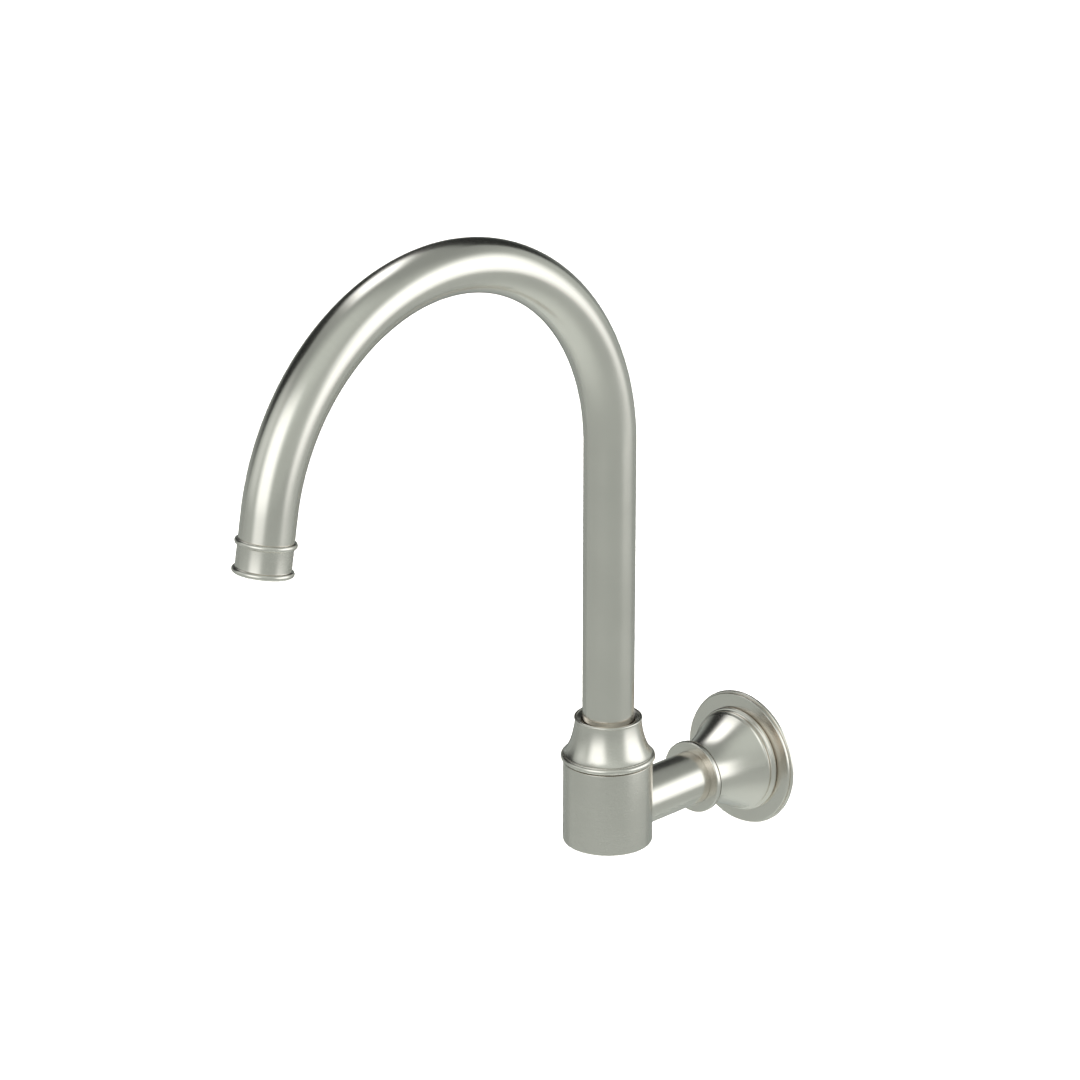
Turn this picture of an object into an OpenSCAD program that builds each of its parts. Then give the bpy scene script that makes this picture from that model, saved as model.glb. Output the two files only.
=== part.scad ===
// Wall mounted bath faucet: a horizontal arm with a wall flange carries a vertical
// swivel body, a flared cap nut and a tall gooseneck spout with an aerator outlet.
// Millimetres. The origin is where the arm's axis meets the wall; the wall lies in
// the plane y = 0, the room is on the -Y side and +Z is up.

/* [Arm] */
// wall face to the swivel axis
arm_reach = 85.3; // [75:0.1:120]
// gap between the wall face and the arm's end
arm_start = 3; // [2.8:0.1:4]
// length of thread standing into the wall
thread_len = 14; // [10:0.5:20]
// inlet thread's outer diameter, G 1/2
thread_d = 20.96; // [20.9:0.01:21]

/* [Flange] */
// outer diameter of the wall plate
flange_d = 60.4; // [58:0.2:70]
// plate front face, measured from the wall
plate_t = 2.7; // [2.5:0.1:3.2]
// height of the plate's stepped back rim
rim_step = 1.3; // [1:0.1:1.4]
// diameter of the lip where the bell meets the plate
lip_d = 46.6; // [45:0.2:48]
// bell front end, measured from the wall
bell_len = 30.2; // [28:0.2:32]
// bell diameter behind the collar
bell_small_d = 26.6; // [26.2:0.1:28]
// curvature of the bell, 1 is a straight cone
bell_power = 1.6; // [1:0.1:2.4]
// diameter of the collar ring
collar_d = 32; // [31:0.2:34]
// thickness of the collar ring
collar_w = 2.8; // [2.4:0.1:2.8]

/* [Body] */
// outer diameter of the swivel body
body_d = 38.2; // [38:0.2:42]
// body bottom, below the arm's axis
body_drop = 12.5; // [12.4:0.1:20]
// body top, above the arm's axis
body_rise = 24.3; // [24.3:0.1:30]
// swing of the spout to each side, set by the stop pin
swing = 90; // [30:5:90]

/* [Cap nut] */
// cap nut height above the body
cap_h = 20; // [19:0.1:24]
// bead at the foot of the cap nut
cap_bead_d = 40.3; // [39.6:0.1:42]
// neck of the flare
cap_neck_d = 27.9; // [27.8:0.1:28.2]
// rolled rim at the top of the flare
cap_rim_d = 29; // [28.6:0.1:29.4]

/* [Spout] */
// outer diameter of the spout tube
spout_d = 22; // [22:0.1:22.2]
// wall thickness of the spout tube
spout_wall = 1; // [0.9:0.05:1.2]
// height of the straight riser above the arm's axis
riser_top = 165.5; // [120:0.5:200]
// centreline radius of the gooseneck
arc_r = 94; // [70:0.5:120]
// angle the gooseneck turns through
arc_sweep = 170; // [150:1:180]
// straight run after the gooseneck
tip_run = 10; // [9:0.5:30]

/* [Outlet] */
// length of the outlet nozzle
nozzle_len = 13.7; // [13.6:0.1:18]
// diameter of the two beads on the nozzle
nozzle_bead_d = 24.5; // [24:0.1:25]
// width of each bead
nozzle_bead_w = 2.5; // [1.8:0.1:2.6]
// rings of cells in the flow straightener
cell_rings = 4; // [2:1:5]

/* [Hidden] */
$fn = 96;

thread_r = thread_d / 2;
nipple_shoulder_r = 13;
nipple_shoulder_t = 2.5;
nipple_r = 7.95;
nipple_end = 36;
nipple_bore_r = 4.8;
key_af = 10;
key_depth = 12;
nipple_groove_r = 6.6;
nipple_groove_w = 1.9;
nipple_groove_1 = 22.5;
nipple_groove_2 = 30;
nipple_ring_r = 0.68;
set_groove_r = 7.2;
set_groove_w = 5;
set_at = 16;
set_screw_r = 2.45;
set_hole_r = 2.5;
set_screw_top = 11.3;

arm_r = 11.5;
arm_bore_r = 10.3;
arm_seat = 14.5;
arm_end = arm_reach - arm_seat;
arm_hole_r = 11.52;
waterway_r = 9;
socket_r = 10.27;
socket_bore_r = 8;
socket_end = 38;
socket_lip_r = 6;

plate_r = flange_d / 2;
plate_front_r = plate_r - 0.8;
edge_round = 0.6;
edge_break = 0.2;
shell = 1.3;
lip_r = lip_d / 2;
lip_edge_t = plate_t + 2.1;
lip_shoulder_r = lip_r - 1.3;
lip_shoulder_t = plate_t + 4.2;
lip_bead = 0.8;
lip_bead_t = plate_t + 1.1;
lip_crease_r = lip_r - 0.9;
lip_inside_r = lip_crease_r - 0.8;
lip_cove = 1;
lip_cove_in = lip_bead - 0.35;
lip_turn = acos(lip_cove_in / (lip_bead + lip_cove));
lip_cove_r = lip_r - lip_bead + lip_cove_in;
lip_cove_t = lip_bead_t + (lip_bead + lip_cove) * sin(lip_turn);
shoulder_round = 0.9;
bell_start_t = lip_shoulder_t + 0.7;
bell_start_r = lip_shoulder_r - 0.5;
bell_small_r = bell_small_d / 2;
flange_bore_r = 11.8;
bell_bore_t = bell_len - 5;
bell_inside_r = bell_start_r - shell;
bell_mouth_r = flange_bore_r + 0.6;
collar_back = bell_len + 0.3;
collar_front = collar_back + collar_w;
collar_r = collar_d / 2;
collar_edge = 0.5;
collar_line_t = collar_back + 0.3;
collar_line_w = 0.35;
collar_line_d = 0.9;
collar_lip_r = arm_r + 0.12;
collar_spigot_back = bell_len - 3.6;
collar_spigot_r = 12.7;
grip_ring_r = 0.5;
grip_centre_r = arm_r + 0.04 + grip_ring_r;
grip_at = (collar_back + collar_front) / 2;
grip_groove_r = 12.6;
grip_groove_w = 1.1;
gasket_in_r = 20.5;
gasket_out_r = plate_r - shell - 0.2;

body_r = body_d / 2;
body_round = 0.8;
chamber_r = 12.58;
chamber_floor = -body_drop + 3;
stack_floor = body_rise - 7.3;
stack_r = 14.5;
neck_r = 16.4;
neck_top = body_rise + 4.7;
pin_r = 0.7;
pin_at = 13.55;
pin_top = stack_floor + 4.3;
pin_bottom = stack_floor - 4;
glide_t = 1.45;
glide_out_r = 14.4;
glide_low_in_r = 12.75;
glide_top_in_r = 11.4;
shoulder_z = stack_floor + 1.5;
shoulder_top = shoulder_z + 3;
shoulder_r = 14.42;
notch_r = 12.7;
notch_half = swing + asin(pin_r / pin_at) + 0.3;
gland_z = shoulder_top + 1.5;
gland_thread_r = 14.44;
gland_head_r = 13.3;
gland_head_z = neck_top + 0.1;
gland_top = neck_top + 4.5;
gland_slot_w = 3;
gland_slot_d = 2;

spout_r = spout_d / 2;
cap_z = body_rise + 0.25;
cap_top = body_rise + cap_h;
cap_foot_r = body_r - 0.9;
cap_bead_r = cap_bead_d / 2;
cap_bead_section = 1.45;
cap_bead_z = cap_z + 1.65;
cap_groove_z = body_rise + 3.45;
cap_groove_r = body_r - 0.25;
cap_neck_r = cap_neck_d / 2;
cap_rim_r = cap_rim_d / 2;
cap_rim_round = 0.6;
cap_dish_r = cap_rim_r - 1.1;
cap_dish_round = 0.25;
cap_dish_depth = 1.2;
cap_flare_h = 19.5;
cap_flare_w = 6.9;
cap_flare_power = 1.8;
cap_flare_top = cap_top + 2;
cap_bore_r = spout_r + 0.4;
cap_head_r = gland_head_r + 0.3;
cap_cavity_r = 15.1;
cap_cavity_z = neck_top + 0.6;
cap_thread_r = 16.45;

spout_bore_r = spout_r - spout_wall;
tip_dressing = 0.01;
spigot_z = stack_floor - 7.7;
spigot_r = 12.5;
spigot_bore_r = 8.5;
spigot_stem_r = spout_bore_r - 0.1;
spigot_stem_top = shoulder_top + 10;
seal_groove_r = 11.2;
seal_groove_w = 1.9;
seal_1_z = spigot_z + 2.2;
seal_2_z = spigot_z + 5.4;
seal_ring_r = 0.66;
seal_centre_r = seal_groove_r + 0.03 + seal_ring_r;

nozzle_start = tip_run;
nozzle_end = tip_run + nozzle_len;
nozzle_bead_r = nozzle_bead_d / 2;
nozzle_r = spout_r + 0.02;
nozzle_spigot_len = 8;
nozzle_bore_r = 8;
nozzle_step = nozzle_start + 3.9;
aerator_r = 9.2;
aerator_bore_r = 9.25;
washer_t = 1;
washer_in_r = 6.8;
housing_z = nozzle_step + washer_t;
housing_end = nozzle_end - 0.5;
housing_in_r = 8.2;
housing_lip_r = 7.8;
key_notch_w = 2.2;
key_notch_d = 0.8;
screen_z = housing_z + 0.9;
screen_t = 0.3;
screen_pitch = 1;
screen_hole = 0.66;
core_z = screen_z + screen_t + 0.1;
core_end = housing_end - 1.1;
core_r = 8.15;
cell_pitch = 1.72;
cell_af = 1.46;

nickel = [0.68, 0.68, 0.64];
raw_brass = [0.78, 0.62, 0.34];
epdm = [0.08, 0.08, 0.08];
acetal = [0.88, 0.87, 0.82];
steel = [0.55, 0.56, 0.57];
foam = [0.22, 0.22, 0.23];

// points on a circular arc
function arc_pts(cx, cy, r, a0, a1, n) = [
  for (i = [0:n]) [cx + r * cos(a0 + (a1 - a0) * i / n), cy + r * sin(a0 + (a1 - a0) * i / n)]
];

// concave power curve from the large end to the small end
function bell_pts(r_big, z_big, r_small, z_small, p, n) = [
  for (i = [0:n]) [r_small + (r_big - r_small) * pow(1 - i / n, p), z_big + (z_small - z_big) * i / n]
];

// hollow inside of the bell, from its open end in the room back to the plate
function bell_inside_pts(n) = [
  for (i = [n:-1:0])
    let (s = i / n, reach = 30 / 36)
      [
        bell_mouth_r + (bell_inside_r - bell_mouth_r) * pow(1 - s * reach, bell_power),
        bell_start_t + (bell_bore_t - bell_start_t) * s
      ]
];

// radius of the cap nut's flare at a height, a superellipse quadrant
function cap_flare_r(z) =
  let (drop = pow((cap_flare_top - z) / cap_flare_h, cap_flare_power))
    cap_neck_r + cap_flare_w * (1 - pow(1 - drop, 1 / cap_flare_power));

function cap_flare_pts(z0, z1, n) = [
  for (i = [0:n]) [cap_flare_r(z0 + (z1 - z0) * i / n), z0 + (z1 - z0) * i / n]
];

// local z runs from the wall into the room
module from_wall() {
  rotate([90, 0, 0]) children();
}

module at_body() {
  translate([0, -arm_reach, 0]) children();
}

// local z runs out of the spout's end
module at_outlet() {
  translate([0, -arm_reach - arc_r + arc_r * cos(arc_sweep), riser_top + arc_r * sin(arc_sweep)])
    rotate([arc_sweep, 0, 0]) children();
}

module cylinder_between(r, z0, z1) {
  translate([0, 0, z0]) cylinder(r = r, h = z1 - z0);
}

module ring(r_out, r_in, z0, z1) {
  translate([0, 0, z0])
    difference() {
      cylinder(r = r_out, h = z1 - z0);
      translate([0, 0, -1]) cylinder(r = r_in, h = z1 - z0 + 2);
    }
}

module torus(centre_r, section_r, z) {
  translate([0, 0, z])
    rotate_extrude()
      translate([centre_r, 0]) circle(r = section_r, $fn = 32);
}

module wall_nipple() {
  color(raw_brass)
    from_wall()
      difference() {
        rotate_extrude()
          polygon([
            [nipple_bore_r, -thread_len],
            [thread_r - 1.2, -thread_len],
            [thread_r, -thread_len + 1.2],
            [thread_r, 0],
            [nipple_shoulder_r, 0],
            [nipple_shoulder_r, nipple_shoulder_t],
            [nipple_r, nipple_shoulder_t],
            [nipple_r, set_at - set_groove_w / 2],
            [set_groove_r, set_at - set_groove_w / 2 + 0.6],
            [set_groove_r, set_at + set_groove_w / 2 - 0.6],
            [nipple_r, set_at + set_groove_w / 2],
            [nipple_r, nipple_groove_1 - nipple_groove_w / 2],
            [nipple_groove_r, nipple_groove_1 - nipple_groove_w / 2],
            [nipple_groove_r, nipple_groove_1 + nipple_groove_w / 2],
            [nipple_r, nipple_groove_1 + nipple_groove_w / 2],
            [nipple_r, nipple_groove_2 - nipple_groove_w / 2],
            [nipple_groove_r, nipple_groove_2 - nipple_groove_w / 2],
            [nipple_groove_r, nipple_groove_2 + nipple_groove_w / 2],
            [nipple_r, nipple_groove_2 + nipple_groove_w / 2],
            [nipple_r, nipple_end - 0.8],
            [nipple_r - 0.8, nipple_end],
            [nipple_bore_r, nipple_end]
          ]);
        translate([0, 0, nipple_end - key_depth])
          cylinder(r = key_af / 2 / cos(30), h = key_depth + 1, $fn = 6);
      }
}

module nipple_o_rings() {
  color(epdm)
    from_wall()
      for (z = [nipple_groove_1, nipple_groove_2])
        torus(nipple_groove_r + 0.03 + nipple_ring_r, nipple_ring_r, z);
}

module arm_socket() {
  color(raw_brass)
    difference() {
      from_wall()
        rotate_extrude()
          polygon([
            [socket_bore_r, arm_start],
            [socket_r, arm_start],
            [socket_r, socket_end],
            [socket_lip_r, socket_end],
            [socket_lip_r, nipple_end + 0.3],
            [socket_bore_r, nipple_end + 0.3]
          ]);
      translate([0, -set_at, -socket_r - 1]) cylinder(r = set_hole_r, h = socket_r);
    }
}

module arm_set_screw() {
  color(steel)
    translate([0, -set_at, -set_screw_top])
      difference() {
        union() {
          cylinder(r = set_screw_r, h = 2.9);
          translate([0, 0, 2.9]) cylinder(r1 = set_screw_r, r2 = 1.2, h = 1);
        }
        translate([0, 0, -1]) cylinder(r = 1.44, h = 3, $fn = 6);
      }
}

module arm_tube() {
  color(nickel)
    difference() {
      from_wall() ring(arm_r, arm_bore_r, arm_start, arm_end);
      translate([0, -set_at, -arm_r - 1]) cylinder(r = set_hole_r, h = arm_r);
    }
}

module swivel_body() {
  color(nickel)
    at_body()
      difference() {
        rotate_extrude()
          polygon(concat(
            [[0, -body_drop]],
            arc_pts(body_r - body_round, -body_drop + body_round, body_round, -90, 0, 8),
            [
              [body_r, body_rise - 0.3],
              [body_r - 0.3, body_rise],
              [neck_r, body_rise],
              [neck_r, neck_top - 0.4],
              [neck_r - 0.4, neck_top],
              [stack_r, neck_top],
              [stack_r, stack_floor],
              [chamber_r + 0.15, stack_floor],
              [chamber_r, stack_floor - 0.4],
              [chamber_r, chamber_floor],
              [0, chamber_floor]
            ]
          ));
        translate([0, arm_seat, 0]) rotate([-90, 0, 0]) cylinder(r = arm_hole_r, h = body_r);
        rotate([-90, 0, 0]) cylinder(r = waterway_r, h = body_r);
        translate([0, pin_at, pin_bottom]) cylinder(r = pin_r, h = 6, $fn = 32);
      }
}

module stop_pin() {
  color(steel)
    at_body()
      translate([0, pin_at, pin_bottom]) cylinder(r = pin_r, h = pin_top - pin_bottom, $fn = 32);
}

// split where the stop pin stands
module lower_glide_ring() {
  color(acetal)
    at_body()
      difference() {
        ring(glide_out_r, glide_low_in_r, stack_floor, stack_floor + glide_t);
        translate([-1.1, 0, stack_floor - 1]) cube([2.2, stack_r + 1, glide_t + 2]);
      }
}

module upper_glide_ring() {
  color(acetal)
    at_body()
      ring(glide_out_r, glide_top_in_r, shoulder_top + 0.05, gland_z);
}

module gland_nut() {
  color(raw_brass)
    at_body()
      difference() {
        union() {
          cylinder_between(gland_thread_r, gland_z, gland_head_z);
          cylinder_between(gland_head_r, gland_head_z, gland_top);
        }
        cylinder_between(spout_r + 0.35, gland_z - 1, gland_top + 1);
        translate([-gland_slot_w / 2, -gland_head_r - 1, gland_top - gland_slot_d])
          cube([gland_slot_w, 2 * gland_head_r + 2, gland_slot_d + 1]);
      }
}

module cap_nut() {
  color(nickel)
    at_body()
      rotate_extrude()
        polygon(concat(
          [[cap_thread_r, cap_z], [cap_foot_r, cap_z], [cap_foot_r, cap_bead_z - cap_bead_section]],
          arc_pts(cap_bead_r - cap_bead_section, cap_bead_z, cap_bead_section, -90, 62, 16),
          [[cap_groove_r, cap_groove_z - 0.35], [cap_groove_r, cap_groove_z]],
          cap_flare_pts(cap_groove_z + 0.3, cap_top - 1.3, 40),
          arc_pts(cap_rim_r - cap_rim_round, cap_top - cap_rim_round, cap_rim_round, -70, 90, 10),
          arc_pts(cap_dish_r + cap_dish_round, cap_top - cap_dish_round, cap_dish_round, 90, 180, 4),
          [
            [cap_bore_r, cap_top - cap_dish_depth],
            [cap_bore_r, gland_top + 1.2],
            [cap_head_r, gland_top + 0.5],
            [cap_cavity_r, cap_cavity_z],
            [cap_cavity_r, neck_top + 0.3],
            [cap_thread_r, neck_top + 0.3]
          ]
        ));
}

// the straight end is a hair larger than the bend, where it is dressed to take the nozzle
module gooseneck(r, start, extra) {
  at_body() cylinder_between(r, start, riser_top);
  translate([0, -arm_reach - arc_r, riser_top])
    rotate([90, 0, 90])
      rotate_extrude(angle = arc_sweep)
        translate([arc_r, 0]) rotate(90) circle(r = r);
  at_outlet() cylinder_between(r + tip_dressing, -0.05, tip_run + extra);
}

module spout_tube() {
  color(nickel)
    difference() {
      gooseneck(spout_r, shoulder_top, 0);
      gooseneck(spout_bore_r, shoulder_top - 1, 1);
    }
}

module spout_spigot() {
  color(raw_brass)
    at_body()
      difference() {
        rotate_extrude()
          polygon([
            [spigot_bore_r, spigot_z],
            [spigot_r - 0.6, spigot_z],
            [spigot_r, spigot_z + 0.6],
            [spigot_r, seal_1_z - seal_groove_w / 2],
            [seal_groove_r, seal_1_z - seal_groove_w / 2],
            [seal_groove_r, seal_1_z + seal_groove_w / 2],
            [spigot_r, seal_1_z + seal_groove_w / 2],
            [spigot_r, seal_2_z - seal_groove_w / 2],
            [seal_groove_r, seal_2_z - seal_groove_w / 2],
            [seal_groove_r, seal_2_z + seal_groove_w / 2],
            [spigot_r, seal_2_z + seal_groove_w / 2],
            [spigot_r, shoulder_z],
            [shoulder_r, shoulder_z],
            [shoulder_r, shoulder_top],
            [spigot_stem_r, shoulder_top],
            [spigot_stem_r, spigot_stem_top],
            [spigot_bore_r, spigot_stem_top]
          ]);
        rotate([0, 0, 90 - notch_half])
          rotate_extrude(angle = 2 * notch_half)
            translate([notch_r, shoulder_z - 0.5]) square([3, 4]);
      }
}

module spigot_o_rings() {
  color(epdm)
    at_body()
      for (z = [seal_1_z, seal_2_z])
        torus(seal_centre_r, seal_ring_r, z);
}

module outlet_nozzle() {
  color(nickel)
    at_outlet()
      rotate_extrude()
        polygon(concat(
          [
            [nozzle_bore_r, nozzle_start - nozzle_spigot_len],
            [spout_bore_r - 0.1, nozzle_start - nozzle_spigot_len],
            [spout_bore_r - 0.1, nozzle_start],
            [nozzle_r, nozzle_start]
          ],
          arc_pts(nozzle_bead_r - nozzle_bead_w / 2, nozzle_start + nozzle_bead_w / 2,
            nozzle_bead_w / 2, -80, 80, 14),
          [
            [nozzle_r, nozzle_start + nozzle_bead_w],
            [nozzle_r, nozzle_end - nozzle_bead_w]
          ],
          arc_pts(nozzle_bead_r - nozzle_bead_w / 2, nozzle_end - nozzle_bead_w / 2,
            nozzle_bead_w / 2, -80, 90, 14),
          [
            [aerator_bore_r + 0.5, nozzle_end],
            [aerator_bore_r, nozzle_end - 0.5],
            [aerator_bore_r, nozzle_step],
            [nozzle_bore_r, nozzle_step]
          ]
        ));
}

module aerator_washer() {
  color(epdm)
    at_outlet()
      ring(aerator_r - 0.05, washer_in_r, nozzle_step, nozzle_step + washer_t);
}

module aerator_housing() {
  color(steel)
    at_outlet()
      difference() {
        rotate_extrude()
          polygon([
            [housing_in_r, housing_z],
            [aerator_r, housing_z],
            [aerator_r, housing_end - 0.4],
            [aerator_r - 0.4, housing_end],
            [housing_lip_r + 0.3, housing_end],
            [housing_lip_r, housing_end - 0.3],
            [housing_lip_r, housing_end - 1],
            [housing_in_r, housing_end - 1]
          ]);
        for (a = [0:90:270])
          rotate([0, 0, a])
            translate([housing_lip_r - 1, -key_notch_w / 2, housing_end - key_notch_d])
              cube([3, key_notch_w, key_notch_d + 1]);
      }
}

module aerator_screen() {
  color(steel)
    at_outlet()
      translate([0, 0, screen_z])
        linear_extrude(height = screen_t)
          difference() {
            circle(r = core_r);
            for (ix = [-7:7])
              for (iy = [-7:7])
                if (norm([ix, iy]) * screen_pitch < core_r - 1)
                  translate([ix * screen_pitch, iy * screen_pitch])
                    square(screen_hole, center = true);
          }
}

module flow_straightener() {
  color(acetal)
    at_outlet()
      difference() {
        cylinder_between(core_r, core_z, core_end);
        for (row = [-cell_rings:cell_rings])
          for (col = [-cell_rings:cell_rings])
            if (abs(row + col) <= cell_rings)
              translate([
                cell_pitch * (col + row / 2),
                cell_pitch * row * sin(60),
                core_z - 1
              ])
                rotate([0, 0, 30])
                  cylinder(r = cell_af / 2 / cos(30), h = core_end - core_z + 2, $fn = 6);
      }
}

module wall_flange() {
  color(nickel)
    from_wall()
      rotate_extrude()
        polygon(concat(
          [
            [plate_r - shell, 0],
            [plate_r - edge_break, 0],
            [plate_r, edge_break]
          ],
          arc_pts(plate_r - edge_round, rim_step - edge_round, edge_round, 0, 75, 6),
          arc_pts(plate_front_r - edge_round, plate_t - edge_round, edge_round, 0, 90, 6),
          [[lip_crease_r, plate_t], [lip_crease_r, lip_bead_t - lip_bead]],
          arc_pts(lip_r - lip_bead, lip_bead_t, lip_bead, -90, lip_turn, 12),
          arc_pts(lip_cove_r, lip_cove_t, lip_cove, lip_turn + 180, 150, 6),
          arc_pts(lip_shoulder_r - 0.64, lip_shoulder_t - 0.3, shoulder_round, -30, 50, 8),
          bell_pts(bell_start_r, bell_start_t, bell_small_r, bell_len, bell_power, 36),
          [
            [collar_spigot_r + 0.03, bell_len],
            [collar_spigot_r + 0.03, collar_spigot_back - 0.1],
            [flange_bore_r, collar_spigot_back - 0.1],
            [flange_bore_r, bell_bore_t]
          ],
          bell_inside_pts(30),
          [
            [lip_shoulder_r - shell, lip_shoulder_t - shell],
            [lip_inside_r, lip_edge_t - shell],
            [lip_inside_r, plate_t - shell],
            [plate_r - shell, plate_t - shell]
          ]
        ));
}

module flange_collar() {
  color(nickel)
    from_wall()
      difference() {
        rotate_extrude()
          polygon(concat(
            [
              [flange_bore_r, collar_spigot_back],
              [collar_spigot_r, collar_spigot_back],
              [collar_spigot_r, collar_back],
              [collar_r - 0.3, collar_back],
              [collar_r - 0.1, collar_back + 0.2],
              [collar_r - 0.1, collar_line_t],
              [collar_r - collar_line_d, collar_line_t + 0.05],
              [collar_r - collar_line_d, collar_line_t + collar_line_w],
              [collar_r - 0.2, collar_line_t + collar_line_w + 0.05],
              [collar_r, collar_line_t + collar_line_w + 0.25]
            ],
            arc_pts(collar_r - collar_edge, collar_front - collar_edge, collar_edge, 0, 90, 6),
            [
              [collar_lip_r + 0.1, collar_front],
              [collar_lip_r, collar_front - 0.1],
              [collar_lip_r, grip_at],
              [flange_bore_r, grip_at]
            ]
          ));
        ring(grip_groove_r, flange_bore_r - 0.5, grip_at - grip_groove_w / 2, grip_at + grip_groove_w / 2);
      }
}

module collar_grip_ring() {
  color(epdm)
    from_wall() torus(grip_centre_r, grip_ring_r, grip_at);
}

module wall_gasket() {
  color(foam)
    from_wall() ring(gasket_out_r, gasket_in_r, 0, plate_t - shell);
}

wall_nipple();
nipple_o_rings();
arm_socket();
arm_set_screw();
arm_tube();
swivel_body();
stop_pin();
lower_glide_ring();
upper_glide_ring();
gland_nut();
cap_nut();
spout_tube();
spout_spigot();
spigot_o_rings();
outlet_nozzle();
aerator_washer();
aerator_housing();
aerator_screen();
flow_straightener();
wall_flange();
flange_collar();
collar_grip_ring();
wall_gasket();
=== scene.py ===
import math

import bpy
from mathutils import Matrix, Vector


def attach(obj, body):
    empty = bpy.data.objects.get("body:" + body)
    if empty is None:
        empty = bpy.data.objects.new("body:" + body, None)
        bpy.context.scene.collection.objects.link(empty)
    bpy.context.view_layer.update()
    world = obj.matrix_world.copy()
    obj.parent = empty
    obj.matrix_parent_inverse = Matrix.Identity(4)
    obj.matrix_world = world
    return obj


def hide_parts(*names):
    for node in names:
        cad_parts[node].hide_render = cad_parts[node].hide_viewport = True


# Wall mounted bath faucet. The pieces that show most are built here as smooth turned and bent
# shapes that stand for their CAD nodes; the other nodes keep their CAD mesh and get a material.

MM = 0.001

# Main sizes, in millimetres, the same as the CAD's.
ARM_REACH = 85.3
ARM_START = 3.0
ARM_SEAT = 14.5
ARM_END = ARM_REACH - ARM_SEAT
ARM_R = 11.5
ARM_BORE_R = 10.3
RISER_TOP = 165.5
ARC_R = 94.0
ARC_SWEEP = math.radians(170)
SPOUT_R = 10.995
SPOUT_BORE_R = 10.0
TIP_RUN = 10.0
NOZZLE_LEN = 13.7
NOZZLE_BEAD_R = 12.24
NOZZLE_BEAD_ROUND = 1.25
BODY_RISE = 24.3
BODY_DROP = 12.5
BODY_R = 19.1
PLATE_R = 30.19
PLATE_T = 2.7
BELL_START = 7.6
BELL_LEN = 30.2
BELL_SMALL_R = 13.3
BELL_BIG_R = 21.5
BELL_POWER = 1.6
COLLAR_T = 2.8
STACK_FLOOR = BODY_RISE - 7.3
NECK_TOP = BODY_RISE + 4.7
GLAND_TOP = NECK_TOP + 4.5
SHOULDER_TOP = STACK_FLOOR + 4.5
CAP_TOP = BODY_RISE + 20.0
THREAD_PITCH = 1.814
THREAD_CREST_R = 10.47
THREAD_DEPTH = 1.16
THREAD_LEN = 13.0

ROUND_SEGMENTS = 160
FILLET_STEPS = 5
SHARP_ANGLE = 28


# ---------------------------------------------------------------- placing

def from_wall():
    """Local z runs from the wall into the room."""
    return Matrix.Rotation(math.radians(90), 4, "X")


def at_body():
    return Matrix.Translation((0, -ARM_REACH * MM, 0))


def at_outlet():
    """Local z runs out of the spout's end."""
    y = -ARM_REACH - ARC_R + ARC_R * math.cos(ARC_SWEEP)
    z = RISER_TOP + ARC_R * math.sin(ARC_SWEEP)
    return Matrix.Translation((0, y * MM, z * MM)) @ Matrix.Rotation(ARC_SWEEP, 4, "X")


# ---------------------------------------------------------------- outlines

def arc(centre_r, centre_z, radius, start, end, steps):
    """Points of a circular arc, angles in degrees."""
    out = []
    for i in range(steps + 1):
        a = math.radians(start + (end - start) * i / steps)
        out.append((centre_r + radius * math.cos(a), centre_z + radius * math.sin(a)))
    return out


def rounded(corners):
    """A run of (r, z) or (r, z, fillet) corners, with each fillet between the two ends drawn as an arc."""
    out = [corners[0][:2]]
    for before, corner, after in zip(corners, corners[1:], corners[2:]):
        here = Vector(corner[:2])
        fillet = corner[2] if len(corner) > 2 else 0
        if not fillet:
            out.append(tuple(here))
            continue
        back = Vector(before[:2]) - here
        ahead = Vector(after[:2]) - here
        half = back.angle(ahead) / 2
        reach = min(fillet / math.tan(half), back.length * 0.49, ahead.length * 0.49)
        radius = reach * math.tan(half)
        middle = (back.normalized() + ahead.normalized()).normalized()
        centre = here + middle * (radius / math.sin(half))
        start = here + back.normalized() * reach - centre
        end = here + ahead.normalized() * reach - centre
        turn = start.angle(end)
        for k in range(FILLET_STEPS + 1):
            t = k / FILLET_STEPS
            p = (start * math.sin((1 - t) * turn) + end * math.sin(t * turn)) / math.sin(turn)
            out.append(tuple(centre + p))
    return out + [corners[-1][:2]]


# ---------------------------------------------------------------- meshes

def new_piece(name, verts, faces, place, along=None):
    """A smooth-shaded mesh, moved into place.

    The value along is each point's distance along the brushing axis, in metres.
    """
    mesh = bpy.data.meshes.new(name)
    mesh.from_pydata(verts, [], faces)
    mesh.validate()
    mesh.transform(place)
    mesh.update()
    if along is not None:
        layer = mesh.attributes.new("along", "FLOAT", "POINT")
        layer.data.foreach_set("value", along)
    obj = bpy.data.objects.new(name, mesh)
    bpy.context.scene.collection.objects.link(obj)
    shade(obj)
    return obj


def shade(obj):
    """Smooth shading, with the steeper edges kept sharp."""
    mesh = obj.data
    mesh.polygons.foreach_set("use_smooth", [True] * len(mesh.polygons))
    mesh.set_sharp_from_angle(angle=math.radians(SHARP_ANGLE))


def ring(r, z, segments):
    """Points of one circle about local z, from a radius and a height in millimetres."""
    turns = [2 * math.pi * s / segments for s in range(segments)]
    return [(r * MM * math.cos(a), r * MM * math.sin(a), z * MM) for a in turns]


def band(first, second, segments):
    """The faces between two rings, numbered as they stand in the list of points."""
    a, b = first * segments, second * segments
    return [(a + s, a + (s + 1) % segments, b + (s + 1) % segments, b + s) for s in range(segments)]


def closed_bands(count, segments):
    """The faces of a turned shape whose last ring joins its first."""
    faces = []
    for i in range(count):
        faces += band(i, (i + 1) % count, segments)
    return faces


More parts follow.
